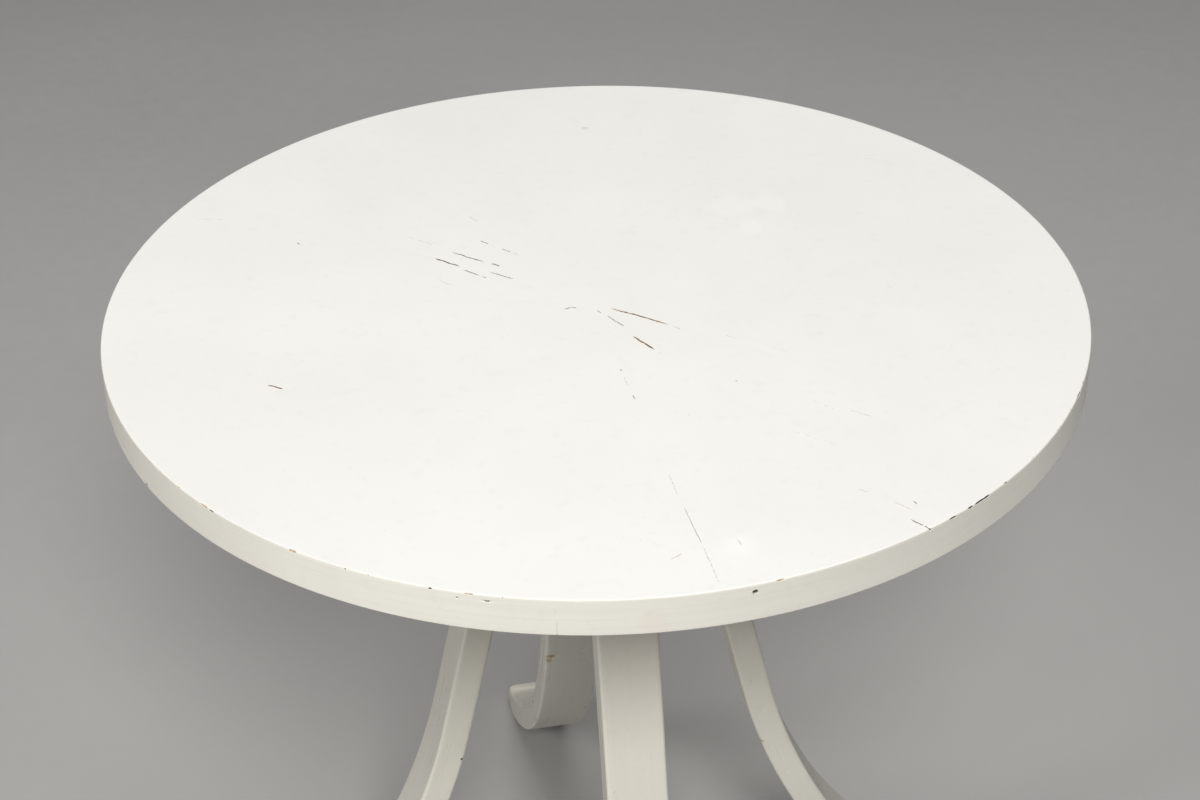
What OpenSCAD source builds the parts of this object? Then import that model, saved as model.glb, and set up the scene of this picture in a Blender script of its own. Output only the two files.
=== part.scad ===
// Round pedestal table: a veneered round top on a square hub with four bent legs.
// Millimetres, +Z up. The origin is on the floor, under the centre of the top.

/* [Overall] */
// Diameter of the round top
top_d = 600; // [500:5:800]
// Height from the floor to the top face
table_h = 544; // [510:1:700]

/* [Top] */
// Thickness of the top, veneers included
top_t = 23; // [18:0.5:32]
// Thickness of the sunburst veneer on the upper face
veneer_t = 1.2; // [0.8:0.1:2]
// Thickness of the balancing veneer on the underside
backing_t = 0.8; // [0.6:0.1:2]
// Number of wedge-shaped leaves in the sunburst
leaf_count = 16; // [8:2:16]
// Direction of the first joint between two leaves, in degrees
leaf_start = 3.5; // [0:0.5:22]
// Thickness of the bent strip glued round the edge
band_t = 4; // [2:0.5:8]
// Easing on the band's two outer corners
band_ease = 1.2; // [0.4:0.1:1.8]
// Open joint where the ends of the band meet
band_joint = 0.5; // [0.2:0.1:2]
// Direction of the band's joint, in degrees
band_joint_at = -106; // [-180:1:180]

/* [Mounting plate and hub] */
// Diameter of the board that carries the hub
plate_d = 240; // [216:2:320]
// Thickness of that board
plate_t = 18; // [15:1:25]
// Width of the square hub, face to face
hub_w = 120; // [96:1:150]
// Height of the hub
hub_h = 78; // [70:1:110]
// Chamfer on the hub's standing corners and lower rim
hub_chamfer = 3; // [1:0.5:6]

/* [Legs] */
// Width of a leg across its wide faces
leg_w = 40; // [34:0.5:60]
// Thickness of a leg
leg_t = 19.4; // [16:0.2:26]
// Easing on a leg's long edges
leg_ease = 1.2; // [0.5:0.1:3]
// Radius of the first bend, below the hub
neck_r = 350; // [250:10:500]
// Slope from upright of the straight run below that bend
neck_slope = 12.8; // [8:0.2:16]
// Length of the straight run
shin_len = 109; // [60:1:130]
// Radius where the leg starts to sweep out
knee_r = 440; // [350:10:500]
// Slope from upright at the end of that bend
knee_slope = 27.5; // [20:0.5:34]
// Radius of the outward sweep
sweep_r = 270; // [220:5:310]
// Slope from upright at the end of the outward sweep
sweep_slope = 66; // [50:1:72]
// Radius of the curl that the table stands on, at mid-thickness
curl_r = 18.5; // [15:0.5:30]
// Slope from upright where the curled toe ends
toe_slope = 134; // [115:1:150]

/* [Fasteners] */
// Diameter of every screw's shank
screw_d = 4.5; // [3.5:0.1:5]
// Diameter of every countersunk head
head_d = 9; // [7:0.2:9.6]
// Length of the screws that hold the legs to the hub
leg_screw_len = 50; // [35:1:52]
// Length of the screws that hold the hub to the plate
hub_screw_len = 50; // [35:1:60]
// Length of the screws that hold the plate to the top
plate_screw_len = 30; // [24:1:34]
// Number of screws through the plate into the top
plate_screw_count = 8; // [4:4:12]
// Distance from the plate's rim to its screws
plate_screw_inset = 20; // [14:1:22]
// Distance from a hub face to the screws that come down through the plate
hub_screw_inset = 22; // [18:1:26]
// Distance from the hub's top and bottom to the leg screws
leg_screw_inset = 18; // [15:1:24]
// Diameter of the wooden plugs over the leg screws
plug_d = 11; // [10.4:0.2:14]
// Depth of those plugs
plug_depth = 5; // [3:0.5:7]
// Clearance around screws and plugs, on the radius
fit_clear = 0.05; // [0.02:0.01:0.15]

/* [Hidden] */
$fn = 160;
// The straight and bent lengths of a leg run this far into each other.
LAP = 0.02;
// A shape that opens a face runs this far past it.
PAST = 1;
HALF_TURN = 180;
QUARTER_TURN = 90;
LEG_TURNS = [0, QUARTER_TURN, HALF_TURN, -QUARTER_TURN];
top_r = top_d / 2;
core_r = top_r - band_t;
core_t = top_t - veneer_t - backing_t;
top_z = table_h - top_t;
core_z = top_z + backing_t;
veneer_z = core_z + core_t;
leaf_angle = 360 / leaf_count;
band_angle = 360 - band_joint / top_r * HALF_TURN / PI;
plate_z = top_z - plate_t;
hub_z = plate_z - hub_h;
leg_line = hub_w / 2 + leg_t / 2;
head_t = (head_d - screw_d) / 2;
tip_len = screw_d;
slot_w = screw_d / 4;
slot_depth = head_t / 2;
plate_screw_r = plate_d / 2 - plate_screw_inset;
plate_screw_step = 360 / plate_screw_count;
hub_screw_at = hub_w / 2 - hub_screw_inset;
leg_screw_zs = [hub_z + leg_screw_inset, plate_z - leg_screw_inset];
leg_face = leg_line + leg_t / 2;

// The bends of a leg from the hub to the toe: [radius, slope before, slope after].
// The straight run lies between the first and the second.
BENDS = [
    [neck_r, 0, neck_slope],
    [knee_r, neck_slope, knee_slope],
    [sweep_r, knee_slope, sweep_slope],
    [curl_r, sweep_slope, toe_slope]
];

// Outward run and drop of one bend, and of all that comes before bend number i.
function bend_run(b) = b[0] * (cos(b[1]) - cos(b[2]));
function bend_drop(b) = b[0] * (sin(b[2]) - sin(b[1]));
function shin_run(i) = i == 1 ? shin_len * sin(neck_slope) : 0;
function shin_drop(i) = i == 1 ? shin_len * cos(neck_slope) : 0;
function run_to(i) = i == 0 ? 0 : run_to(i - 1) + bend_run(BENDS[i - 1]) + shin_run(i);
function drop_to(i) = i == 0 ? 0 : drop_to(i - 1) + bend_drop(BENDS[i - 1]) + shin_drop(i);

// The lowest point of the curl is on the floor, which sets where the bends start.
curl_low = curl_r * (1 - sin(sweep_slope)) + leg_t / 2;
bends_z = drop_to(len(BENDS) - 1) + curl_low;
upright_len = plate_z - bends_z;

LEAVES = [
    "veneer_leaf_01", "veneer_leaf_02", "veneer_leaf_03", "veneer_leaf_04",
    "veneer_leaf_05", "veneer_leaf_06", "veneer_leaf_07", "veneer_leaf_08",
    "veneer_leaf_09", "veneer_leaf_10", "veneer_leaf_11", "veneer_leaf_12",
    "veneer_leaf_13", "veneer_leaf_14", "veneer_leaf_15", "veneer_leaf_16"
];
USED_LEAVES = [for (i = [0 : leaf_count - 1]) LEAVES[i]];
LEGS = ["leg_right", "leg_rear", "leg_left", "leg_front"];

// ---- shared shapes ----

// A countersunk screw pointing down, with the top of its head at z = 0. The shank ends inside
// the head, and grow widens all but the head.
module screw(length, grow = 0) {
    shank_r = screw_d / 2 + grow;
    shank_len = length - tip_len - head_t / 2;
    translate([0, 0, -head_t]) cylinder(h = head_t, r1 = screw_d / 2, r2 = head_d / 2);
    translate([0, 0, -length + tip_len]) cylinder(h = shank_len, r = shank_r);
    translate([0, 0, -length]) cylinder(h = tip_len, r1 = grow, r2 = shank_r);
}

// The screw itself, with the slot for a screwdriver in its head.
module slotted_screw(length) {
    difference() {
        screw(length);
        translate([-head_d / 2, -slot_w / 2, -slot_depth])
            cube([head_d, slot_w, slot_depth + PAST]);
    }
}

// The hole a screw sits in. Its countersink is the head's own cone.
module screw_hole(length) {
    screw(length, fit_clear);
}

// Places things on the screw circle of the plate, pointing up into the top.
module at_plate_screws() {
    for (i = [0 : plate_screw_count - 1])
        rotate([0, 0, (i + 1 / 2) * plate_screw_step])
            translate([plate_screw_r, 0, plate_z])
                mirror([0, 0, 1]) children();
}

// Places things at the four screws that go down through the plate into the hub.
module at_hub_screws() {
    for (x = [-1, 1], y = [-1, 1])
        translate([x * hub_screw_at, y * hub_screw_at, top_z]) children();
}

// Places things at the two screws of the leg on +X, pointing inwards.
module at_leg_screws() {
    for (z = leg_screw_zs)
        translate([leg_face - plug_depth, 0, z])
            rotate([0, QUARTER_TURN, 0]) children();
}

// A leg's section, a rectangle with eased corners, as far as d from the bending axis.
module leg_section(d) {
    x = leg_t / 2;
    y = leg_w / 2;
    e = leg_ease;
    translate([d, 0])
        polygon([
            [-x, -y + e], [-x + e, -y], [x - e, -y], [x, -y + e],
            [x, y - e], [x - e, y], [-x + e, y], [-x, y - e]
        ]);
}

// Bend number i of the leg on +X.
module leg_bend(i) {
    b = BENDS[i];
    x = leg_line + run_to(i) + b[0] * cos(b[1]);
    z = bends_z - drop_to(i) + b[0] * sin(b[1]);
    lap_angle = LAP / b[0] * HALF_TURN / PI;
    translate([x, 0, z])
        rotate([QUARTER_TURN, 0, 0])
            rotate([0, 0, HALF_TURN + b[1] - lap_angle])
                rotate_extrude(angle = b[2] - b[1] + lap_angle) leg_section(b[0]);
}

// A leg on +X: upright against the hub, then bends and a straight run down to the toe.
module leg() {
    difference() {
        union() {
            translate([leg_line, 0, bends_z - LAP])
                linear_extrude(height = upright_len + LAP) leg_section(0);
            translate([leg_line + run_to(1), 0, bends_z - drop_to(1)])
                rotate([0, -neck_slope, 0])
                    translate([0, 0, -LAP])
                        linear_extrude(height = shin_len + 2 * LAP) leg_section(0);
            for (i = [0 : len(BENDS) - 1]) leg_bend(i);
        }
        at_leg_screws() screw_hole(leg_screw_len);
        at_leg_screws() cylinder(h = plug_depth + PAST, r = plug_d / 2 + fit_clear);
    }
}

// ---- the top ----

module top_core() {
    color("BurlyWood")
        difference() {
            translate([0, 0, core_z]) cylinder(h = core_t, r = core_r);
            at_plate_screws() screw_hole(plate_screw_len);
        }
}

module backing_veneer() {
    color("Tan")
        difference() {
            translate([0, 0, top_z]) cylinder(h = backing_t, r = core_r);
            at_plate_screws() screw_hole(plate_screw_len);
        }
}

module veneer_leaf(i) {
    color("Ivory")
        translate([0, 0, veneer_z])
            rotate([0, 0, leaf_start + i * leaf_angle])
                rotate_extrude(angle = leaf_angle) square([core_r, veneer_t]);
}

module edge_band() {
    e = band_ease;
    color("Linen")
        translate([0, 0, top_z])
            rotate([0, 0, band_joint_at])
                rotate_extrude(angle = band_angle)
                    translate([core_r, 0])
                        polygon([
                            [0, 0], [band_t - e, 0], [band_t, e],
                            [band_t, top_t - e], [band_t - e, top_t], [0, top_t]
                        ]);
}

// ---- plate and hub ----

module mounting_plate() {
    color("Wheat")
        difference() {
            translate([0, 0, plate_z]) cylinder(h = plate_t, r = plate_d / 2);
            at_plate_screws() screw_hole(plate_screw_len);
            at_hub_screws() screw_hole(hub_screw_len);
        }
}

module hub_block() {
    c = hub_chamfer;
    w = hub_w / 2;
    color("AntiqueWhite")
        difference() {
            translate([0, 0, hub_z])
                linear_extrude(height = hub_h)
                    polygon([
                        [-w, -w + c], [-w + c, -w], [w - c, -w], [w, -w + c],
                        [w, w - c], [w - c, w], [-w + c, w], [-w, w - c]
                    ]);
            at_hub_screws() screw_hole(hub_screw_len);
            for (turn = LEG_TURNS) rotate([0, 0, turn])
                at_leg_screws() screw_hole(leg_screw_len);
        }
}

// ---- fasteners ----

module plate_screws() {
    color("Silver") at_plate_screws() slotted_screw(plate_screw_len);
}

module hub_screws() {
    color("Silver") at_hub_screws() slotted_screw(hub_screw_len);
}

module leg_screws() {
    color("Silver")
        for (turn = LEG_TURNS) rotate([0, 0, turn])
            at_leg_screws() slotted_screw(leg_screw_len);
}

module leg_plugs() {
    color("BurlyWood")
        for (turn = LEG_TURNS) rotate([0, 0, turn])
            at_leg_screws() cylinder(h = plug_depth, r = plug_d / 2);
}

// ---- nodes ----

top_core();
backing_veneer();
edge_band();
mounting_plate();
hub_block();
for (i = [0 : leaf_count - 1])
    veneer_leaf(i);
for (i = [0 : len(LEGS) - 1])
    color("Ivory") rotate([0, 0, LEG_TURNS[i]]) leg();
plate_screws();
hub_screws();
leg_screws();
leg_plugs();
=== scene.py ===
import math
import random

import bpy
import numpy as np
from mathutils import Matrix, Vector, noise
from mathutils.geometry import delaunay_2d_cdt


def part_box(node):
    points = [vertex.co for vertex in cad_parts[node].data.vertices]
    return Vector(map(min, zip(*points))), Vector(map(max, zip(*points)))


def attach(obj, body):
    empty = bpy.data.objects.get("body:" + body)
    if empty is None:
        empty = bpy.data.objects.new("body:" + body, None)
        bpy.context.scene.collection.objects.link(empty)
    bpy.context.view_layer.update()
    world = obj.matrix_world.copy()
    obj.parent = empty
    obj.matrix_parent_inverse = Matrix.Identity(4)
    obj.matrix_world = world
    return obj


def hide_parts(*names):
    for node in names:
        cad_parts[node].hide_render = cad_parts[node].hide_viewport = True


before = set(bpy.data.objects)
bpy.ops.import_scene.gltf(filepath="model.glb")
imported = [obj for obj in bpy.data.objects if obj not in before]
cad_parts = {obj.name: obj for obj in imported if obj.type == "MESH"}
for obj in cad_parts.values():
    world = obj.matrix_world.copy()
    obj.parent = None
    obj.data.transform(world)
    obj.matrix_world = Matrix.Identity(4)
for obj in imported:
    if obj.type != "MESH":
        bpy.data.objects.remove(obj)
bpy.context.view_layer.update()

# ---- sizes, in metres, from the frame ----

BAND_LO, BAND_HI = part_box("edge_band")
LEAF_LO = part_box("veneer_leaf_01")[0]
HUB_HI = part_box("hub_block")[1]
PLATE_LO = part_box("mounting_plate")[0]
LEG_LO, LEG_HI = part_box("leg_right")
PLUG_LO, PLUG_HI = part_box("leg_plugs")
TOP_Z = BAND_HI.z
UNDER_Z = BAND_LO.z
TOP_R = min(BAND_HI.x, BAND_HI.y, -BAND_LO.x, -BAND_LO.y)
BAND_T = 0.004
CORE_R = TOP_R - BAND_T
LEAF_COUNT = 16
LEAF_START = math.radians(3.5)
LEAF_ANGLE = math.tau / LEAF_COUNT
LEG_W = LEG_HI.y - LEG_LO.y
LEG_T = 0.0194
LEG_LINE = HUB_HI.x + LEG_T / 2
PLUG_R = 0.0055
PLUG_DEPTH = 0.005
# How far the painted faces of the legs stay inside the frame's own faces.
SKIN = 0.00003
# How far the last edges of a toe are eased across and through the leg.
TOE_EASE_W = 0.0042
TOE_EASE_T = 0.0016
LEG_TURNS = {"leg_right": 0, "leg_rear": 90, "leg_left": 180, "leg_front": -90}
# A leg's bends, from hub to toe: radius, slope before, slope after. The straight run follows the first.
BENDS = [(0.35, 0, 12.8), (0.44, 12.8, 27.5), (0.27, 27.5, 66), (0.0185, 66, 134)]
SHIN_LEN = 0.109
# Spacing of the stations down a leg, and round the tight curl of its toe.
LEG_STEP = 0.0024
TOE_STEP = 0.0008


# ---- materials ----

class Graph:
    """One material and the nodes that make it."""

    def __init__(self, name):
        self.material = bpy.data.materials.new(name)
        self.material.use_nodes = True
        self.tree = self.material.node_tree
        self.tree.nodes.clear()
        self.shader = self.tree.nodes.new("ShaderNodeBsdfPrincipled")
        out = self.tree.nodes.new("ShaderNodeOutputMaterial")
        self.tree.links.new(self.shader.outputs["BSDF"], out.inputs["Surface"])
        self.coords = self.tree.nodes.new("ShaderNodeTexCoord")
        self.normal = None

    def put(self, value, socket):
        """Links a socket, or sets a plain number or colour."""
        if hasattr(value, "is_linked"):
            self.tree.links.new(value, socket)
        elif isinstance(value, (tuple, list)):
            socket.default_value = tuple(value) + (1,) * (len(socket.default_value) - len(value))
        else:
            socket.default_value = value

    def math(self, operation, a, b=0.0):
        n = self.tree.nodes.new("ShaderNodeMath")
        n.operation = operation
        self.put(a, n.inputs[0])
        self.put(b, n.inputs[1])
        return n.outputs[0]

    def stretch(self, scale, source="Object"):
        n = self.tree.nodes.new("ShaderNodeMapping")
        n.inputs["Scale"].default_value = scale
        self.tree.links.new(self.coords.outputs[source], n.inputs["Vector"])
        return n.outputs[0]

    def noise(self, scale, detail=2.0, vector=None, distortion=0.0):
        n = self.tree.nodes.new("ShaderNodeTexNoise")
        n.inputs["Scale"].default_value = scale
        n.inputs["Detail"].default_value = detail
        n.inputs["Distortion"].default_value = distortion
        self.tree.links.new(vector or self.coords.outputs["Object"], n.inputs["Vector"])
        return n.outputs["Fac"]

    def span(self, value, low, high, to_low=0.0, to_high=1.0):
        """Maps low..high to to_low..to_high with a soft start and end."""
        n = self.tree.nodes.new("ShaderNodeMapRange")
        n.interpolation_type = "SMOOTHSTEP"
        self.put(value, n.inputs["Value"])
        n.inputs["From Min"].default_value = low
        n.inputs["From Max"].default_value = high
        n.inputs["To Min"].default_value = to_low
        n.inputs["To Max"].default_value = to_high
        return n.outputs["Result"]

    def mix(self, fac, a, b):
        n = self.tree.nodes.new("ShaderNodeMix")
        n.data_type = "RGBA"
        self.put(fac, n.inputs[0])
        self.put(a, n.inputs[6])
        self.put(b, n.inputs[7])
        return n.outputs[2]

    def spot(self, centre, radius, softness, ragged=0.4):
        """1 inside a ragged round patch about a point on the object, 0 outside."""
        n = self.tree.nodes.new("ShaderNodeVectorMath")
        n.operation = "DISTANCE"
        self.tree.links.new(self.coords.outputs["Object"], n.inputs[0])
        n.inputs[1].default_value = centre
        wobble = self.span(self.noise(1.2 / radius, 3), 0.25, 0.75, 1 - ragged, 1 + ragged)
        d = self.math("MULTIPLY", n.outputs["Value"], wobble)
        return self.span(d, radius * softness, radius, 1.0, 0.0)

    def bump(self, height, strength, distance):
        n = self.tree.nodes.new("ShaderNodeBump")
        n.inputs["Strength"].default_value = strength
        n.inputs["Distance"].default_value = distance
        self.tree.links.new(height, n.inputs["Height"])
        if self.normal:
            self.tree.links.new(self.normal, n.inputs["Normal"])
        self.normal = n.outputs["Normal"]
        self.tree.links.new(self.normal, self.shader.inputs["Normal"])

    def colour(self, value):
        self.put(value, self.shader.inputs["Base Color"])

    def rough(self, value):
        self.put(value, self.shader.inputs["Roughness"])


def enamel(name, tint, shade, strokes=None, stroke_source="Object", streaks=0.3, stains_and_reflections=(), gloss=0.3,
           grime=0.0, relief=1.0):
    """Old brushed enamel paint: mottled tone, brush strokes, specks, stains and painted reflection patches, and
    grime at the edges.
    """
    g = Graph(name)
    colour = g.mix(g.span(g.noise(5.5, 3, distortion=0.4), 0.36, 0.66), tint, shade)
    fine = g.noise(130, 3)
    colour = g.mix(g.span(fine, 0.56, 0.74, 0.0, 0.22), colour, [c * 0.9 for c in shade])
    specks = g.span(g.noise(620, 0), 0.86, 0.89, 0.0, 0.4)
    colour = g.mix(specks, colour, (0.40, 0.33, 0.24))
    rough = g.span(g.noise(24, 4), 0.3, 0.7, gloss - 0.02, gloss + 0.04)
    if strokes:
        lines = g.noise(1.0, 1.2, g.stretch(strokes, stroke_source))
        colour = g.mix(g.span(lines, 0.36, 0.74, 0.0, streaks), colour, [c * 0.93 for c in shade])
        rough = g.math("ADD", rough, g.span(lines, 0.35, 0.7, -0.03, 0.07))
        if streaks > 0.2:
            g.bump(lines, streaks * 0.4, 0.0004)
    # Patches of colour: real stains, and on the top lighter patches that are painted reflections.
    for centre, radius, softness, strength, patch_colour in stains_and_reflections:
        patch = g.math("MULTIPLY", g.spot(centre, radius, softness), strength)
        colour = g.mix(patch, colour, patch_colour)
    if grime:
        geometry = g.tree.nodes.new("ShaderNodeNewGeometry")
        edge = g.span(geometry.outputs["Pointiness"], 0.515, 0.56)
        worn = g.math("MULTIPLY", edge, g.span(g.noise(70, 3), 0.44, 0.62, 0.0, grime))
        colour = g.mix(worn, colour, (0.42, 0.37, 0.29))
    g.bump(g.noise(46, 3), 0.1 * relief, 0.0006)
    g.bump(g.noise(420, 2), 0.06 * relief, 0.0002)
    g.colour(colour)
    g.rough(rough)
    return g.material


def bare_wood(name, light, dark, grain=(14, 14, 260), gloss=0.62, dirt=0.35):
    """Unpainted wood: long grain, pores and dust."""
    g = Graph(name)
    grain_lines = g.noise(1.0, 5, g.stretch(grain), distortion=0.6)
    colour = g.mix(g.span(grain_lines, 0.34, 0.68), light, dark)
    pores = g.span(g.noise(1.0, 2, g.stretch([s * 3 for s in grain])), 0.62, 0.72, 0.0, 0.6)
    colour = g.mix(pores, colour, [c * 0.45 for c in dark])
    colour = g.mix(g.span(g.noise(9, 4), 0.5, 0.75, 0.0, dirt), colour, [c * 0.6 for c in dark])
    g.bump(grain_lines, 0.4, 0.0004)
    g.colour(colour)
    g.rough(g.span(g.noise(40, 3), 0.3, 0.7, gloss - 0.08, gloss + 0.12))
    return g.material


def broken_paint(name, inner, outer, scale=700):
    """What shows where paint has gone: dark dirt and raw fibres."""
    g = Graph(name)
    g.colour(g.mix(g.span(g.noise(scale, 3), 0.35, 0.65), inner, outer))
    g.bump(g.noise(scale * 1.6, 2), 0.6, 0.0003)
    g.rough(g.span(g.noise(scale, 2), 0.3, 0.7, 0.7, 0.95))
    return g.material


def worn_steel(name):
    """Dull screw steel with light rust in patches."""
    g = Graph(name)
    rust = g.span(g.noise(320, 4), 0.5, 0.66, 0.0, 0.8)
    g.colour(g.mix(rust, (0.5, 0.48, 0.45), (0.23, 0.12, 0.06)))
    g.rough(g.span(g.noise(260, 3), 0.3, 0.7, 0.34, 0.62))
    g.put(g.span(rust, 0.0, 0.8, 0.95, 0.25), g.shader.inputs["Metallic"])
    g.bump(g.noise(900, 2), 0.3, 0.0002)
    return g.material


def pale_floor(name):
    """Plain pale floor, a little uneven in tone."""
    g = Graph(name)
    g.colour(g.mix(g.span(g.noise(1.4, 3), 0.3, 0.7), (0.42, 0.42, 0.418), (0.39, 0.39, 0.388)))
    g.rough(g.span(g.noise(60, 3), 0.3, 0.7, 0.6, 0.75))
    g.bump(g.noise(220, 3), 0.05, 0.0005)
    return g.material


# Lighter colour for patches on the top's face: a painted reflection of bright windows in the gloss.
PAINTED_REFLECTION = (0.885, 0.888, 0.876)
TOP_PAINT = enamel(
    "top_enamel", (0.822, 0.824, 0.810), (0.802, 0.802, 0.786), gloss=0.34,
    stains_and_reflections=[
        ((0.0622, -0.1051, TOP_Z), 0.0009, 0.3, 0.75, (0.2, 0.16, 0.12)),
        ((-0.1696, 0.1166, TOP_Z), 0.0010, 0.3, 0.7, (0.24, 0.2, 0.15)),
        ((0.0407, 0.2309, TOP_Z), 0.003, 0.3, 0.35, (0.45, 0.42, 0.36)),
        # The next four patches are painted reflections, not stains.
        ((0.112, 0.100, TOP_Z), 0.020, 0.5, 0.26, PAINTED_REFLECTION),
        ((0.138, 0.100, TOP_Z), 0.014, 0.5, 0.26, PAINTED_REFLECTION),
        ((0.116, 0.070, TOP_Z), 0.011, 0.5, 0.26, PAINTED_REFLECTION),
        ((0.025, -0.263, TOP_Z), 0.014, 0.2, 0.45, PAINTED_REFLECTION),
    ])
BAND_PAINT = enamel(
    "band_enamel", (0.825, 0.810, 0.750), (0.79, 0.77, 0.705), strokes=(9, 9, 620), gloss=0.34,
    stains_and_reflections=[((-0.0300, -0.2980, TOP_Z - 0.017), 0.012, 0.2, 0.3, (0.80, 0.71, 0.64))])
# Darker, duller paint for the band's rounded top edge: partly its tan wear, partly painted shade that dulls the
# highlight the lamps make on that edge.
EDGE_PAINT = enamel("edge_enamel", (0.735, 0.715, 0.655), (0.64, 0.61, 0.54), gloss=0.5)
# Painted shade: the legs' white is kept darker than the band's, to stand in for the top's shadow on them and to
# damp the floor's bounce.
SHADED_LEG_PAINT = enamel(
    "leg_enamel", (0.725, 0.708, 0.645), (0.676, 0.660, 0.592), strokes=(300, 5, 1),
    stroke_source="UV", streaks=0.15, gloss=0.31, grime=0.12, relief=0.3,
    stains_and_reflections=[((-0.0160, 0.1070, 0.1890), 0.0036, 0.3, 0.85, (0.40, 0.27, 0.10)),
            ((-0.0175, 0.1085, 0.1840), 0.0030, 0.3, 0.75, (0.46, 0.33, 0.15))])
BASE_PAINT = enamel(
    "base_enamel", (0.77, 0.755, 0.69), (0.745, 0.728, 0.66), strokes=(60, 60, 300), gloss=0.36, grime=0.12)
CRACK = broken_paint("crack_in_paint", (0.17, 0.135, 0.10), (0.09, 0.075, 0.06))
HAIRLINE = broken_paint("hairline_in_paint", (0.56, 0.53, 0.49), (0.44, 0.41, 0.37))
SPLIT_WOOD = broken_paint("split_to_the_wood", (0.34, 0.22, 0.12), (0.13, 0.095, 0.06))
DARK_CHIP = broken_paint("dark_chip", (0.035, 0.03, 0.026), (0.08, 0.065, 0.05))
WOOD_CHIP = broken_paint("wood_chip", (0.62, 0.48, 0.35), (0.42, 0.31, 0.21))
WORN_EDGE = broken_paint("worn_edge", (0.62, 0.56, 0.46), (0.44, 0.37, 0.28))
CORE_WOOD = bare_wood("core_wood", (0.60, 0.42, 0.25), (0.42, 0.27, 0.15))
UNDER_WOOD = bare_wood("underside_veneer_wood", (0.47, 0.31, 0.18), (0.31, 0.19, 0.10), (260, 9, 9))
STEEL = worn_steel("screw_steel_worn")


# ---- small helpers ----

def wave(x, y, z, seed=0.0):
    """Smooth noise between 0 and 1."""
    return 0.5 + 0.5 * noise.noise(Vector((x + seed, y - seed, z + 2.7 * seed)))


def make_object(name, verts, faces, materials, face_material=None, smooth=None, sharp=None):
    """A mesh object, smooth except where flags or an angle say otherwise."""
    mesh = bpy.data.meshes.new(name)
    mesh.from_pydata([tuple(map(float, v)) for v in verts], [], [tuple(map(int, f)) for f in faces])
    for m in materials:
        mesh.materials.append(m)
    if face_material is not None:
        mesh.polygons.foreach_set("material_index", np.asarray(face_material, dtype=np.int32))
    flags = np.ones(len(faces), dtype=bool) if smooth is None else np.asarray(smooth, dtype=bool)
    mesh.polygons.foreach_set("use_smooth", flags)
    if sharp is not None:
        mesh.set_sharp_from_angle(angle=math.radians(sharp))
    mesh.update()
    obj = bpy.data.objects.new(name, mesh)
    bpy.context.scene.collection.objects.link(obj)
    return obj


# ---- the top's painted face: 16 veneer leaves, cracked where they meet ----

def polar(radius_mm, degrees):
    a = math.radians(degrees)
    return (radius_mm / 1000 * math.cos(a), radius_mm / 1000 * math.sin(a))


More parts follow.
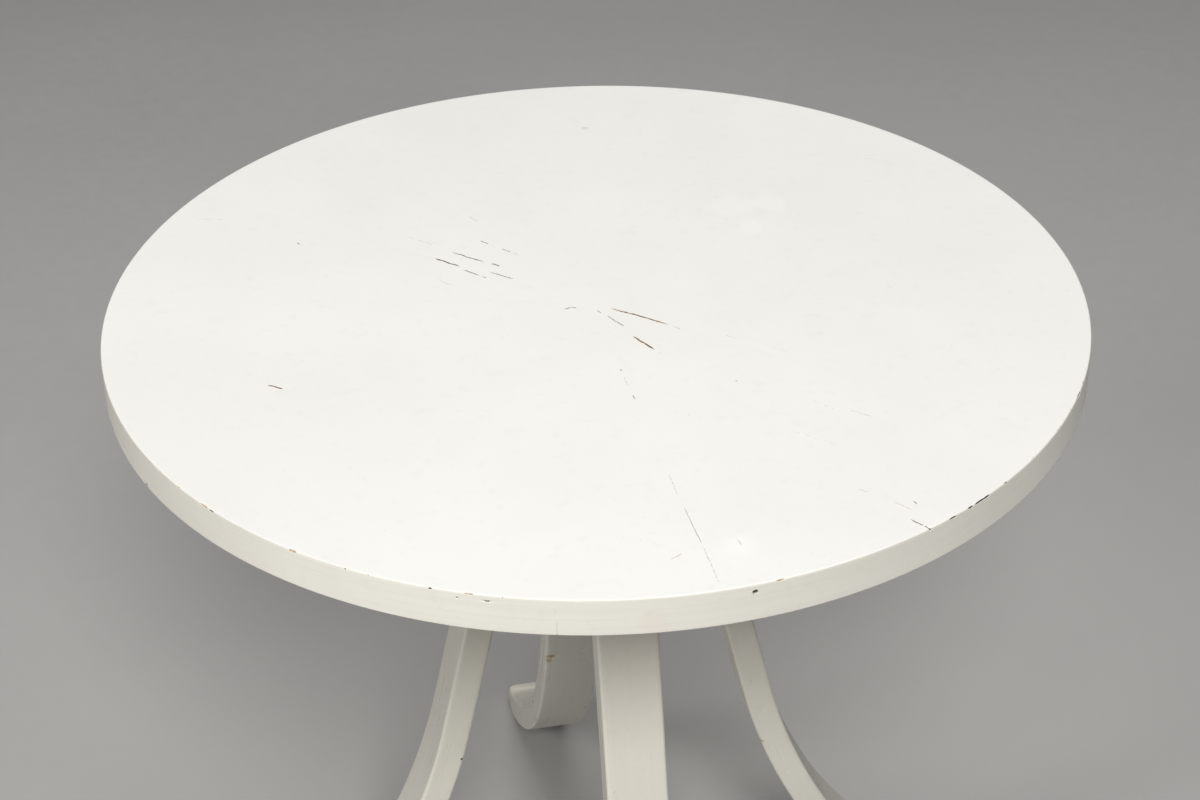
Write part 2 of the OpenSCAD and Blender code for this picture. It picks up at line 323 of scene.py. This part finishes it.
# Each crack: points as (distance from the centre in mm, direction in degrees), width in mm, depth in mm,
# and 1 for a dark crack, 2 for a hairline or 3 for a split that shows wood.
CRACKS = [
    ([(10.4, -46.5), (31.1, -41.8), (52.4, -42.5)], 1.15, 0.45, 3),
    ([(54.5, -42.9), (60, -43.2)], 0.5, 0.2, 2),
    ([(8.5, -96), (12, -84)], 0.5, 0.2, 1),
    ([(16.4, -76.3), (24, -72.2), (33.1, -69.1)], 0.5, 0.3, 1),
    ([(45.0, -71.7), (56.1, -69.9), (65, -68.9)], 1.3, 0.5, 3),
    ([(66, -68.8), (72, -68.6)], 0.35, 0.12, 2),
    ([(77.2, -90.8), (79.6, -90.5)], 0.5, 0.15, 1),
    ([(84, -90.6), (98, -90.3)], 0.28, 0.1, 2),
    ([(106.4, -90.0), (111.4, -89.8)], 0.45, 0.2, 1),
    ([(188, -89.4), (210.4, -89.4)], 0.35, 0.12, 2),
    ([(221.3, -89.2), (240, -89.15), (258.5, -89.0)], 0.5, 0.2, 2),
    ([(258.7, -89.0), (294, -89.0)], 0.34, 0.12, 2),
    ([(258, -84.8), (264.3, -84.6)], 0.45, 0.12, 2),
    ([(267.3, -93.2), (266, -92.5), (263.1, -91.7)], 0.6, 0.1, 2),
    ([(117.3, 138.5), (106.4, 138.9), (96.8, 139.2)], 1.1, 0.45, 1),
    ([(93.5, 140.7), (87, 141.4), (80.5, 142.1)], 0.65, 0.3, 1),
    ([(78.5, 142.4), (75, 142.8)], 0.5, 0.2, 1),
    ([(111.9, 132.5), (97.3, 132.0), (87.2, 131.4)], 0.8, 0.35, 1),
    ([(82.6, 130.8), (76.1, 130.2)], 0.95, 0.3, 1),
    ([(76.9, 137.2), (68, 137.2), (59.2, 137.1)], 0.65, 0.3, 1),
    ([(108.5, 121), (101.3, 120.4)], 0.6, 0.25, 1),
    ([(100, 120.3), (93, 119.6)], 0.3, 0.12, 2),
    ([(91.4, 119.2), (83.7, 117.9)], 0.55, 0.25, 1),
    ([(82.5, 117.7), (77, 117)], 0.3, 0.1, 2),
    ([(139.2, 114.6), (128.6, 114.3)], 0.45, 0.12, 2),
    ([(150, 132.6), (138, 132.5), (125.7, 132.4)], 0.38, 0.12, 2),
    ([(101.0, 151.4), (92.2, 153.0)], 0.4, 0.12, 2),
    ([(104, 150.2), (99, 150.8)], 0.35, 0.12, 2),
    ([(87, -38.5), (96, -38.7)], 0.35, 0.12, 2),
    ([(112, -38.9), (129.8, -39.0)], 0.3, 0.12, 2),
    ([(188.8, -51.9), (205.2, -51.2)], 0.38, 0.12, 2),
    ([(167.7, -53.6), (180, -53.4), (187, -53.2)], 0.25, 0.1, 2),
    ([(180.4, -64.1), (195, -62.5), (209.8, -60.9)], 0.22, 0.1, 2),
    ([(248.3, -66.2), (253.4, -65.7)], 0.4, 0.12, 2),
    ([(268.2, -64.6), (281.1, -64.1)], 0.4, 0.12, 2),
    ([(275, -62.8), (278.5, -62.9)], 0.6, 0.2, 1),
    ([(286.6, -65.4), (291, -65.3), (295.6, -65.1)], 0.65, 0.3, 1),
    ([(211.2, -167.0), (207.6, -166.0), (204.5, -164.8)], 1.15, 0.3, 3),
    ([(20.2, -172), (15.5, -176.1)], 0.7, 0.25, 1),
    ([(15.5, -176.1), (12.6, -166)], 0.6, 0.2, 1),
    ([(205.8, 145.5), (203.6, 145.9)], 0.6, 0.2, 1),
    ([(283.3, 144.7), (265.2, 143.2)], 0.3, 0.1, 2),
    ([(259.6, 35.0), (267.8, 33.1)], 0.3, 0.1, 2),
]
CRACK_STEP = 0.0008
GRID_STEP = 0.009
# Points on each leaf's curved outer end.
LEAF_STEPS = 32
# Points kept beside each joint between leaves, so that its dip has a shape.
JOINT_OFFSETS = (-0.0022, -0.001, 0.001, 0.0022)


def crack_strip(number, points, width, depth):
    """A ragged crack: its outline and middle line, with the depth at each middle point."""
    line = [Vector(polar(*p)) for p in points]
    path = []
    for a, b in zip(line, line[1:]):
        count = max(2, int((b - a).length / CRACK_STEP))
        path += [a.lerp(b, i / count) for i in range(count)]
    path.append(line[-1])
    last = len(path) - 1
    left, right, middle, depths = [], [], [], []
    for i, p in enumerate(path):
        along = (path[min(i + 1, last)] - path[max(i - 1, 0)]).normalized()
        side = Vector((-along.y, along.x))
        taper = min(1.0, 6.5 * min(i, last - i) / last)
        wander = 0.0010 * (wave(i * 0.17, number, 0) - 0.5) * taper
        half = width / 2000 * taper * (0.45 + 1.1 * wave(i * 0.33, number, 5))
        centre = p + side * wander
        middle.append(centre)
        depths.append(-depth / 1000 * taper)
        if 0 < i < last:
            left.append(centre + side * half * (0.7 + 0.6 * wave(i * 0.7, number, 9)))
            right.append(centre - side * half * (0.7 + 0.6 * wave(i * 0.7, number, 13)))
    outline = [middle[0]] + right + [middle[-1]] + left[::-1]
    return outline, middle, depths


def top_height(x, y):
    """The painted face sags a hair between high spots, and dips along each joint between leaves."""
    sag = 0.00010 * wave(x * 16, y * 16, 3) + 0.00004 * wave(x * 70, y * 70, 8)
    r = math.hypot(x, y)
    turn = (math.atan2(y, x) - LEAF_START) % LEAF_ANGLE
    off_joint = r * math.sin(min(turn, LEAF_ANGLE - turn))
    dip = 0.00003 * math.exp(-((off_joint / 0.0011) ** 2))
    rim = max(0.0, (r - CORE_R + 0.0025) / 0.0025)
    return TOP_Z - 0.00004 - sag * (1 - min(1.0, rim)) - dip


def build_top():
    """Meshes the whole face at once round its cracks and joints, then hands each leaf its triangles."""
    points, edges, faces, depth_of = [], [], [], {}
    ring = LEAF_STEPS * LEAF_COUNT
    for i in range(ring):
        a = LEAF_START + math.tau * i / ring
        points.append((CORE_R * math.cos(a), CORE_R * math.sin(a)))
        edges.append((i, (i + 1) % ring))
    centre = len(points)
    points.append((0.0, 0.0))
    spokes = int(CORE_R / GRID_STEP)
    for leaf in range(LEAF_COUNT):
        a = LEAF_START + leaf * LEAF_ANGLE
        before = centre
        for k in range(1, spokes):
            r = CORE_R * k / spokes
            points.append((r * math.cos(a), r * math.sin(a)))
            edges.append((before, len(points) - 1))
            before = len(points) - 1
            if r * LEAF_ANGLE > 0.012:
                points += [(r * math.cos(a) - off * math.sin(a), r * math.sin(a) + off * math.cos(a))
                           for off in JOINT_OFFSETS]
        edges.append((before, leaf * LEAF_STEPS))
    outlines = []
    for number, (line, width, depth, _) in enumerate(CRACKS):
        outline, middle, depths = crack_strip(number, line, width, depth)
        start = len(points)
        points += [tuple(p) for p in outline]
        faces.append(list(range(start, len(points))))
        outlines.append(np.array([tuple(p) for p in outline]))
        start = len(points)
        points += [tuple(p) for p in middle[1:-1]]
        edges += [(start + i, start + i + 1) for i in range(len(middle) - 3)]
        for i, d in enumerate(depths[1:-1]):
            depth_of[start + i] = d
    crowded = np.concatenate(outlines)
    steps = int(CORE_R / GRID_STEP) + 1
    for i in range(-steps, steps + 1):
        for k in range(-steps, steps + 1):
            x = (i + 0.5 * (k % 2) + 0.3 * (wave(i, k, 1) - 0.5)) * GRID_STEP
            y = (k * 0.87 + 0.3 * (wave(i, k, 4) - 0.5)) * GRID_STEP
            if math.hypot(x, y) < CORE_R - 0.004 and ((crowded - (x, y)) ** 2).sum(1).min() > 0.0025 ** 2:
                points.append((x, y))
    verts, _, tris, orig_verts, _, orig_faces = delaunay_2d_cdt(
        [Vector(p) for p in points], edges, faces, 0, 1e-7)
    height = []
    for i, v in enumerate(verts):
        drop = min([depth_of.get(o, 0.0) for o in orig_verts[i]] or [0.0])
        height.append(top_height(v.x, v.y) + drop)
    by_leaf = [[] for _ in range(LEAF_COUNT)]
    for t, tri in enumerate(tris):
        if len(tri) != 3:
            continue
        cx = sum(verts[i].x for i in tri) / 3
        cy = sum(verts[i].y for i in tri) / 3
        leaf = int(((math.atan2(cy, cx) - LEAF_START) % math.tau) / LEAF_ANGLE) % LEAF_COUNT
        kind = 0
        if orig_faces[t]:
            _, width, _, kind = CRACKS[orig_faces[t][0]]
            if width < 0.4 and wave(cx * 420, cy * 420, 2) < 0.42:
                kind = 0
        by_leaf[leaf].append((tri, kind))
    for leaf, chosen in enumerate(by_leaf):
        build_leaf(leaf, chosen, verts, height)


def build_leaf(leaf, chosen, verts, height):
    """One leaf: its share of the painted face, a flat underside and walls between them."""
    used = sorted({i for tri, _ in chosen for i in tri})
    local = {v: n for n, v in enumerate(used)}
    count = len(used)
    points = [(verts[i].x, verts[i].y, height[i]) for i in used]
    points += [(verts[i].x, verts[i].y, LEAF_LO.z) for i in used]
    faces, kinds, smooth, seen = [], [], [], {}
    for tri, kind in chosen:
        a, b, c = (local[i] for i in tri)
        pa, pb, pc = points[a], points[b], points[c]
        if (pb[0] - pa[0]) * (pc[1] - pa[1]) - (pb[1] - pa[1]) * (pc[0] - pa[0]) < 0:
            b, c = c, b
        faces += [(a, b, c), (a + count, c + count, b + count)]
        kinds += [kind, 0]
        smooth += [True, False]
        for e in ((a, b), (b, c), (c, a)):
            seen[e] = True
    for a, b in list(seen):
        if (b, a) not in seen:
            faces.append((a, a + count, b + count, b))
            kinds.append(0)
            smooth.append(False)
    name = "veneer_leaf_%02d" % (leaf + 1)
    piece = make_object("painted_leaf_%02d" % (leaf + 1), points, faces,
                        [TOP_PAINT, CRACK, HAIRLINE, SPLIT_WOOD], kinds, smooth, 7)
    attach(piece, "root")
    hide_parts(name)


# ---- the band round the rim ----

# Each chip: direction in degrees, distance down from the top in mm, half length, half height and depth in mm,
# and 0 for a painted one, 1 for a dark one or 2 for bare wood.
CHIPS = [
    (-58.95, 0.2, 2.0, 0.75, 0.8, 1), (-57.4, 0.15, 4.0, 0.8, 1.0, 1), (-56.3, 0.1, 3.0, 0.65, 0.9, 1),
    (-61.7, 0.3, 3.0, 0.6, 0.7, 1), (-52.9, 0.1, 1.4, 0.55, 0.6, 1), (-47.2, 0.1, 1.3, 0.5, 0.5, 2),
    (-64.9, 0.1, 1.2, 0.5, 0.5, 1), (-36.5, 0.1, 3.0, 0.45, 0.5, 2), (-33.2, 0.2, 4.2, 0.6, 0.7, 1),
    (-30.5, 0.1, 2.0, 0.5, 0.6, 1), (-156.2, 0.1, 2.6, 0.5, 0.5, 0), (-152.0, 0.1, 2.0, 0.5, 0.5, 2),
    (-147.4, 0.2, 3.6, 0.75, 0.7, 2), (-146.1, 0.35, 2.0, 0.5, 0.7, 1), (-134.4, 0.2, 2.2, 1.1, 0.7, 2),
    (-127.9, 0.1, 1.0, 0.5, 0.5, 1), (-125.3, 0.1, 1.2, 0.45, 0.4, 2), (-118.5, 0.1, 1.2, 0.6, 0.6, 1),
    (-114.4, 0.1, 3.4, 0.6, 0.5, 2), (-112.6, 3.4, 3.4, 0.5, 0.5, 1), (-115.7, 3.6, 0.7, 0.65, 0.6, 1),
    (-82.9, 0.1, 2.6, 0.8, 0.6, 2), (-84.6, 0.1, 0.9, 0.4, 0.4, 2), (-85.6, 4.6, 1.6, 1.55, 2.4, 1),
    (21.0, 0.1, 2.8, 0.7, 0.8, 2), (63.5, 0.1, 1.6, 0.6, 0.7, 1), (118.0, 0.1, 2.4, 0.6, 0.7, 2),
    (171.0, 0.2, 1.8, 0.6, 0.7, 1), (96.0, 22.6, 3.0, 0.8, 0.8, 2), (-20.0, 22.7, 2.0, 0.7, 0.7, 2),
    (-160.0, 22.6, 2.6, 0.8, 0.8, 1),
]
# Small knocks all along the upper edge; most have been painted over.
dice = random.Random(11)
KNOCKS = [(dice.uniform(-179, 179), 0.0, dice.uniform(0.5, 2.2), dice.uniform(0.3, 0.6), dice.uniform(0.2, 0.5),
           dice.choice((0, 0, 0, 0, 2, 1))) for _ in range(150)]
JOINT_AT = -105.65
# Where a crack in the veneer runs on across the band's top edge.
SPLIT_AT = -65.0
EDGE_ROUND = 0.0007


def band_profile():
    """Points of the band's section as (distance in from the rim, distance down), and how far round each is."""
    r = EDGE_ROUND
    h = TOP_Z - UNDER_Z
    pts = [(BAND_T, 0.0), (BAND_T * 0.7, 0.0), (BAND_T * 0.5, 0.0)]
    for i in range(8):
        a = math.radians(90 * i / 7)
        pts.append((r - r * math.sin(a), r - r * math.cos(a)))
    fine = [0.0003 * i for i in range(1, 9)] + [0.0024 + 0.0004 * i for i in range(1, 10)]
    pts += [(0.0, r + d) for d in fine]
    rest = h - 2 * r - fine[-1]
    pts += [(0.0, r + fine[-1] + rest * i / 12) for i in range(1, 12)]
    for i in range(8):
        a = math.radians(90 * i / 7)
        pts.append((r - r * math.cos(a), h - r + r * math.sin(a)))
    pts += [(BAND_T * 0.6, h), (BAND_T, h), (BAND_T, h * 0.66), (BAND_T, h * 0.33)]
    return pts


def band_angles():
    """Directions round the rim, close together where there is something to show."""
    places = [(c[0], math.degrees(c[2] / 1000 / TOP_R) * 1.3 + 0.1, 0.06) for c in CHIPS]
    places += [(c[0], math.degrees(c[2] / 1000 / TOP_R) * 1.1, 0.14) for c in KNOCKS]
    places.append((JOINT_AT, 0.75, 0.06))
    angles = [-180.0]
    while angles[-1] < 180:
        a = angles[-1]
        nxt = a + min([step for at, reach, step in places if abs(a - at) < reach], default=0.4)
        for at, reach, step in places:
            if a < at - reach < nxt:
                nxt = at - reach
        angles.append(nxt + 1e-4)
    return [a for a in angles if a < 179.9]


def joint_depth(degrees, down_mm):
    """The band's joint: a fine groove with a step part of the way down, painted over near the top."""
    off = math.radians(degrees - JOINT_AT) * TOP_R * 1000
    if down_mm > 15.5:
        near = min(abs(off - 0.1 * wave(down_mm, 0, 0)), 9)
    elif down_mm > 14.8 and -2.4 < off < 0.2:
        near = abs(down_mm - 15.1)
    elif 7.4 < down_mm < 10.5:
        near = abs(off + 0.3)
    else:
        near = 9
    return 0.0006 * max(0.0, 1 - (near / 0.4) ** 2)


def build_band():
    """The band as one ring, dented and painted by its chips, its joint and the crack that runs onto it."""
    profile = band_profile()
    angles = band_angles()
    verts, dents = [], []
    for degrees in angles:
        a = math.radians(degrees)
        c, s = math.cos(a), math.sin(a)
        close = [chip for chip in CHIPS + KNOCKS if abs(degrees - chip[0]) < 1.6]
        for inward, down in profile:
            down_mm = down * 1000
            dent, kind = 0.0, 0
            if inward < BAND_T * 0.75:
                for at, low, length, tall, depth, paint in close:
                    off = math.radians(degrees - at) * TOP_R * 1000
                    if abs(off) > 1.6 * length:
                        continue
                    rise = abs(down_mm - low) + 1.2 * inward * 1000 * (1 if low < 3 or low > 20 else 0)
                    ragged = 0.55 + 0.9 * wave(off * 1.3, down_mm * 1.7, at)
                    e = ((off / length) ** 2 + (rise / tall) ** 2) * ragged
                    if e < 1 and depth / 1000 * math.sqrt(1 - e) > dent:
                        dent, kind = depth / 1000 * math.sqrt(1 - e), paint
            if down_mm < 1.0 and abs(math.radians(degrees - SPLIT_AT)) * TOP_R < 0.0004:
                dent, kind = max(dent, 0.0003), 1
            groove = joint_depth(degrees, down_mm) if inward < BAND_T * 0.3 else 0.0
            soft = 0.00007 * wave(degrees * 0.9, down_mm * 0.15, 2) + 0.00004 * wave(degrees * 6, down_mm, 5)
            edge = max(0.0, 1 - down_mm / 1.2) * (0.00012 * wave(degrees * 2.2, 1, 7)
                                                   + 0.00014 * wave(degrees * 9, 4, 2))
            pull = dent + groove + (soft + edge if inward < BAND_T * 0.6 else 0.0)
            r = TOP_R - 0.00001 - inward - pull
            sink = (dent * 0.8 if down_mm < 3 else 0.0) + (0.00003 if inward < BAND_T * 0.9 else 0.00004)
            lift = dent * 0.5 if down_mm > 21 else 0.0
            z = max(UNDER_Z, TOP_Z - down - sink + lift)
            verts.append((r * c, r * s, z))
            dents.append(kind if dent > 0.00012 else 0)
    n, m = len(angles), len(profile)
    faces, kinds = [], []
    for i in range(n):
        k = (i + 1) % n
        for j in range(m):
            q = (j + 1) % m
            face = (i * m + j, i * m + q, k * m + q, k * m + j)
            faces.append(face)
            marks = [dents[f] for f in face]
            below = max(profile[j][1], profile[q][1]) / EDGE_ROUND
            # Faces on the rounded top edge take the darker edge paint: partly wear, and partly painted shade
            # over the edge's highlight.
            plain = 3 if below < 0.2 else 4 if below < 1.1 else 0
            kinds.append(max(marks) if sum(1 for x in marks if x) >= 3 else plain)
    band = make_object("rim_band", verts, faces, [BAND_PAINT, DARK_CHIP, WOOD_CHIP, TOP_PAINT, EDGE_PAINT],
                       kinds, None, 40)
    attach(band, "root")
    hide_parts("edge_band")


# ---- legs ----

def leg_path():
    """Stations down a leg on +X: distance out, height, slope from upright and length so far."""
    rad = math.radians
    curl = BENDS[-1]
    z = curl[0] * (1 - math.sin(rad(curl[1]))) + LEG_T / 2
    for r, a, b in BENDS[:-1]:
        z += r * (math.sin(rad(b)) - math.sin(rad(a)))
    z += SHIN_LEN * math.cos(rad(BENDS[0][2]))
    out, x, length = [], LEG_LINE, 0.0
    upright = PLATE_LO.z - z
    steps = 16
    out += [(x, PLATE_LO.z - upright * i / steps, 0.0, upright * i / steps) for i in range(steps)]
    length = upright
    for number, (r, a, b) in enumerate(BENDS):
        a, b = rad(a), rad(b)
        last = number == len(BENDS) - 1
        steps = max(4, int(r * (b - a) / (TOE_STEP if last else LEG_STEP)))
        for i in range(steps):
            t = a + (b - a) * i / steps
            out.append((x + r * (math.cos(a) - math.cos(t)), z - r * (math.sin(t) - math.sin(a)), t,
                        length + r * (t - a)))
        x += r * (math.cos(a) - math.cos(b))
        z -= r * (math.sin(b) - math.sin(a))
        length += r * (b - a)
        if number == 0:
            steps = int(SHIN_LEN / LEG_STEP)
            for i in range(steps):
                d = SHIN_LEN * i / steps
                out.append((x + d * math.sin(b), z - d * math.cos(b), b, length + d))
            x += SHIN_LEN * math.sin(b)
            z -= SHIN_LEN * math.cos(b)
            length += SHIN_LEN
    t = BENDS[-1][2] * math.pi / 180
    out.append((x, z, t, length))
    return out


def rounded(distance, radius):
    """How far an edge of this radius is cut back at a distance from the end."""
    if distance >= radius:
        return 0.0
    return radius - math.sqrt(max(0.0, radius ** 2 - (radius - distance) ** 2))


def leg_section(half_w, half_t, corners):
    """Section points (across, thick) with rounded corners, wide faces split finely."""
    pts, at = [], []
    signs = [(1, 1), (-1, 1), (-1, -1), (1, -1)]
    for n, (sx, sy) in enumerate(signs):
        rho = corners[n]
        cx, cy = sx * (half_w - rho), sy * (half_t - rho)
        for i in range(6):
            a = math.radians(90 * n + 90 * i / 5)
            pts.append((cx + rho * math.cos(a), cy + rho * math.sin(a)))
            at.append(n + 1)
        wide = n in (0, 2)
        nx, ny = signs[(n + 1) % 4]
        rho2 = corners[(n + 1) % 4]
        if wide:
            p = (cx, sy * half_t)
            q = (nx * (half_w - rho2), ny * half_t)
        else:
            p = (sx * half_w, cy)
            q = (nx * half_w, ny * (half_t - rho2))
        parts = 16 if wide else 8
        for i in range(1, parts):
            f = i / parts
            pts.append((p[0] + (q[0] - p[0]) * f, p[1] + (q[1] - p[1]) * f))
            at.append(0)
    return pts, at


# Marks on the legs: leg, face (+1 outer, -1 inner, or 2 for the side seen from the front), length down the leg
# in mm, offset across in mm, radius in mm and depth in mm.
MARKS = [
    ("leg_rear", -1, 344.8, 4.0, 2.6, 0.25), ("leg_rear", -1, 371.3, -15.0, 2.6, 0.25),
    ("leg_left", 2, 289.9, -8.2, 1.1, 0.6), ("leg_left", 1, 323.8, 14.0, 2.2, 0.18),
    ("leg_right", -2, 348.3, -2.4, 1.6, 0.2), ("leg_front", 1, 410.0, 9.0, 1.8, 0.15),
]


def leg_frame(path, length):
    """Position and slope at a length down the leg."""
    lengths = [p[3] for p in path]
    return [float(np.interp(length, lengths, [p[k] for p in path])) for k in range(3)]


def dish_cutter(name, centre, normal, radius, depth, material):
    """A shallow round dish: a ball cut a little way into the surface."""
    big = (radius ** 2 + depth ** 2) / (2 * depth)
    bpy.ops.mesh.primitive_uv_sphere_add(segments=48, ring_count=24, radius=big,
                                         location=centre + normal * (big - depth))
    obj = bpy.context.object
    obj.name = name
    obj.data.materials.append(material)
    return obj


def pin_cutter(name, centre, direction, radius, length, material):
    """A plain round pin, for holes."""
    bpy.ops.mesh.primitive_cylinder_add(vertices=48, radius=radius, depth=length, location=centre)
    obj = bpy.context.object
    obj.name = name
    obj.rotation_mode = "QUATERNION"
    obj.rotation_quaternion = direction.to_track_quat("Z", "Y")
    obj.data.materials.append(material)
    return obj


def cut(obj, cutters):
    """Cuts holes and marks, then keeps the result as the piece's own mesh."""
    if not cutters:
        return
    bpy.context.view_layer.update()
    for c in cutters:
        m = obj.modifiers.new("cut", "BOOLEAN")
        m.object = c
        m.operation = "DIFFERENCE"
        m.solver = "EXACT"
        m.material_mode = "TRANSFER"
    depsgraph = bpy.context.evaluated_depsgraph_get()
    result = bpy.data.meshes.new_from_object(obj.evaluated_get(depsgraph), preserve_all_data_layers=True,
                                             depsgraph=depsgraph)
    obj.modifiers.clear()
    old = obj.data
    obj.data = result
    bpy.data.meshes.remove(old)
    for c in cutters:
        bpy.data.objects.remove(c)


def build_leg(node, turn, seed):
    """One bent leg: sections along its path, plug holes and marks cut in, then turned to its place."""
    path = leg_path()
    total = path[-1][3]
    stations = list(path)
    verts, ring_at = [], None
    worn_flags = []
    for x, z, slope, length in stations:
        to_end = total - length
        half_w = LEG_W / 2 - SKIN - rounded(to_end, TOE_EASE_W)
        half_t = LEG_T / 2 - SKIN - rounded(to_end, TOE_EASE_T)
        corners, worn = [], []
        for n in range(4):
            chip = wave(length * 90, n * 7.3, seed)
            chip = max(0.0, (chip - 0.66) / 0.34)
            wear = 0.0017 + 0.0006 * wave(length * 18, n * 3.1, seed + 4) + 0.0011 * chip
            corners.append(min(wear, half_t * 0.85, half_w * 0.85))
            worn.append(chip > 0.4)
        section, ring_at = leg_section(half_w, half_t, corners)
        co, si = math.cos(slope), math.sin(slope)
        for k, (across, thick) in enumerate(section):
            n = ring_at[k]
            rough = 0.00010 * wave(length * 12, across * 18, seed + thick * 30)
            if n and worn[n - 1]:
                rough += 0.00025 * wave(length * 700, k * 0.9, seed)
            across -= math.copysign(rough, across) if abs(across) > half_w - 0.002 else 0
            thick -= math.copysign(rough, thick) if abs(thick) > half_t - 0.002 else 0
            verts.append((x + thick * co, across, z + thick * si))
            worn_flags.append(bool(n and worn[n - 1]))
    m = len(ring_at)
    n = len(stations)
    faces, kinds, uvs = [], [], []
    girth = [0.0]
    first = [Vector(verts[i]) for i in range(m)] + [Vector(verts[0])]
    for i in range(m):
        girth.append(girth[-1] + (first[i + 1] - first[i]).length)
    for i in range(n - 1):
        for j in range(m):
            q = (j + 1) % m
            face = (i * m + j, (i + 1) * m + j, (i + 1) * m + q, i * m + q)
            faces.append(face)
            kinds.append(1 if sum(worn_flags[f] for f in face) >= 3 else 0)
            lo, hi = stations[i][3], stations[i + 1][3]
            uvs += [(girth[j], lo), (girth[j], hi), (girth[j + 1], hi), (girth[j + 1], lo)]
    faces.append(tuple(range(m)))
    uvs += [(0.01 + v[0], v[1]) for v in (verts[i] for i in range(m))]
    faces.append(tuple((n - 1) * m + i for i in range(m - 1, -1, -1)))
    uvs += [(0.3 + verts[i][1], 0.7 + verts[i][2]) for i in ((n - 1) * m + j for j in range(m - 1, -1, -1))]
    kinds += [0, 0]
    leg = make_object("bent_" + node, verts, faces, [SHADED_LEG_PAINT, WORN_EDGE], kinds, None, 35)
    layer = leg.data.uv_layers.new(name="along_the_leg")
    layer.data.foreach_set("uv", np.asarray(uvs, dtype=np.float32).ravel())
    cutters = []
    for z in (PLUG_LO.z + PLUG_R, PLUG_HI.z - PLUG_R):
        cutters.append(pin_cutter("plug_hole", Vector((LEG_LINE + LEG_T / 2, 0, z)), Vector((1, 0, 0)),
                                  PLUG_R + 0.00008, PLUG_DEPTH * 2, SHADED_LEG_PAINT))
    for place, face, length, across, radius, depth in MARKS:
        if place != node:
            continue
        x, z, slope = leg_frame(path, length / 1000)
        out = Vector((math.cos(slope), 0, math.sin(slope)))
        side = Vector((0, 1, 0))
        if abs(face) == 1:
            normal = out * face
            centre = Vector((x, 0, z)) + normal * LEG_T / 2 + side * across / 1000
        else:
            normal = side * (face / 2)
            centre = Vector((x, 0, z)) + normal * LEG_W / 2 + out * across / 1000
        paint = DARK_CHIP if depth > 0.5 else SHADED_LEG_PAINT
        cutters.append(dish_cutter("mark", centre, normal, radius / 1000, depth / 1000, paint))
    cut(leg, cutters)
    leg.data.transform(Matrix.Rotation(math.radians(turn), 4, "Z"))
    leg.data.set_sharp_from_angle(angle=math.radians(35))
    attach(leg, "root")
    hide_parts(node)


# ---- CAD nodes that stay, with better materials and softened edges ----

def dress(node, material, bevel=0.0):
    """A new material for a CAD node, and eased edges of this width."""
    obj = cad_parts[node]
    obj.data.materials.clear()
    obj.data.materials.append(material)
    if bevel:
        m = obj.modifiers.new("eased_edges", "BEVEL")
        m.width = bevel
        m.segments = 3
        m.limit_method = "ANGLE"
        m.angle_limit = math.radians(40)


def dress_frame():
    dress("top_core", CORE_WOOD)
    dress("backing_veneer", UNDER_WOOD)
    dress("mounting_plate", BASE_PAINT, 0.0006)
    dress("hub_block", BASE_PAINT, 0.0008)
    dress("leg_plugs", SHADED_LEG_PAINT, 0.0002)
    for node in ("plate_screws", "hub_screws", "leg_screws"):
        dress(node, STEEL)


# ---- room, light and camera ----

FLOOR_HALF = 7.0
# Each light: name, place, diameter, power and colour. All aim at the middle of the table.
LIGHTS = [
    ("overhead", (0.2, 0.7, 3.0), 2.2, 38, (1.0, 0.985, 0.955)),
    ("front_key", (-0.35, -3.4, 3.55), 1.4, 172, (1.0, 0.985, 0.955)),
    ("left_fill", (-2.6, -0.8, 1.8), 1.0, 28, (1.0, 0.98, 0.95)),
]


def build_stage():
    s = FLOOR_HALF
    floor = make_object("studio_floor", [(-s, -s, 0), (s, -s, 0), (s, s, 0), (-s, s, 0)], [(0, 1, 2, 3)],
                        [pale_floor("studio_floor_paint")])
    world = bpy.data.worlds.new("studio")
    bpy.context.scene.world = world
    world.use_nodes = True
    background = world.node_tree.nodes["Background"]
    background.inputs["Color"].default_value = (0.93, 0.96, 1.0, 1)
    background.inputs["Strength"].default_value = 0.02
    for name, place, size, power, tint in LIGHTS:
        data = bpy.data.lights.new(name, "AREA")
        data.shape = "DISK"
        data.size = size
        data.energy = power
        data.color = tint
        obj = bpy.data.objects.new(name, data)
        obj.location = place
        aim = Vector((0, 0, TOP_Z * 0.6)) - Vector(place)
        obj.rotation_mode = "QUATERNION"
        obj.rotation_quaternion = aim.to_track_quat("-Z", "Y")
        bpy.context.scene.collection.objects.link(obj)


def build_camera():
    """The camera, placed by its direction, its distance and where the top's centre lies in its view."""
    azimuth, elevation, roll = math.radians(-11.3), math.radians(32.965), math.radians(-0.985)
    right = Vector((math.cos(azimuth), math.sin(azimuth), 0))
    ahead = Vector((-math.sin(azimuth), math.cos(azimuth), 0))
    forward = ahead * math.cos(elevation) - Vector((0, 0, math.sin(elevation)))
    down = -ahead * math.sin(elevation) - Vector((0, 0, math.cos(elevation)))
    x = right * math.cos(roll) - down * math.sin(roll)
    y = right * math.sin(roll) + down * math.cos(roll)
    place = Vector((0, 0, TOP_Z)) - (x * -0.0028 + y * -0.0593 + forward * 1.6224)
    data = bpy.data.cameras.new("camera")
    data.sensor_width = 36
    data.lens = 79.5
    camera = bpy.data.objects.new("camera", data)
    basis = Matrix((x, -y, -forward)).transposed().to_4x4()
    camera.matrix_world = Matrix.Translation(place) @ basis
    bpy.context.scene.collection.objects.link(camera)
    bpy.context.scene.camera = camera
    bpy.context.scene.view_settings.view_transform = "Standard"


build_camera()
build_stage()
dress_frame()
build_top()
build_band()
for seed, (leg_node, leg_turn) in enumerate(LEG_TURNS.items()):
    build_leg(leg_node, leg_turn, 3.7 * seed + 1.3)

bpy.context.view_layer.update()
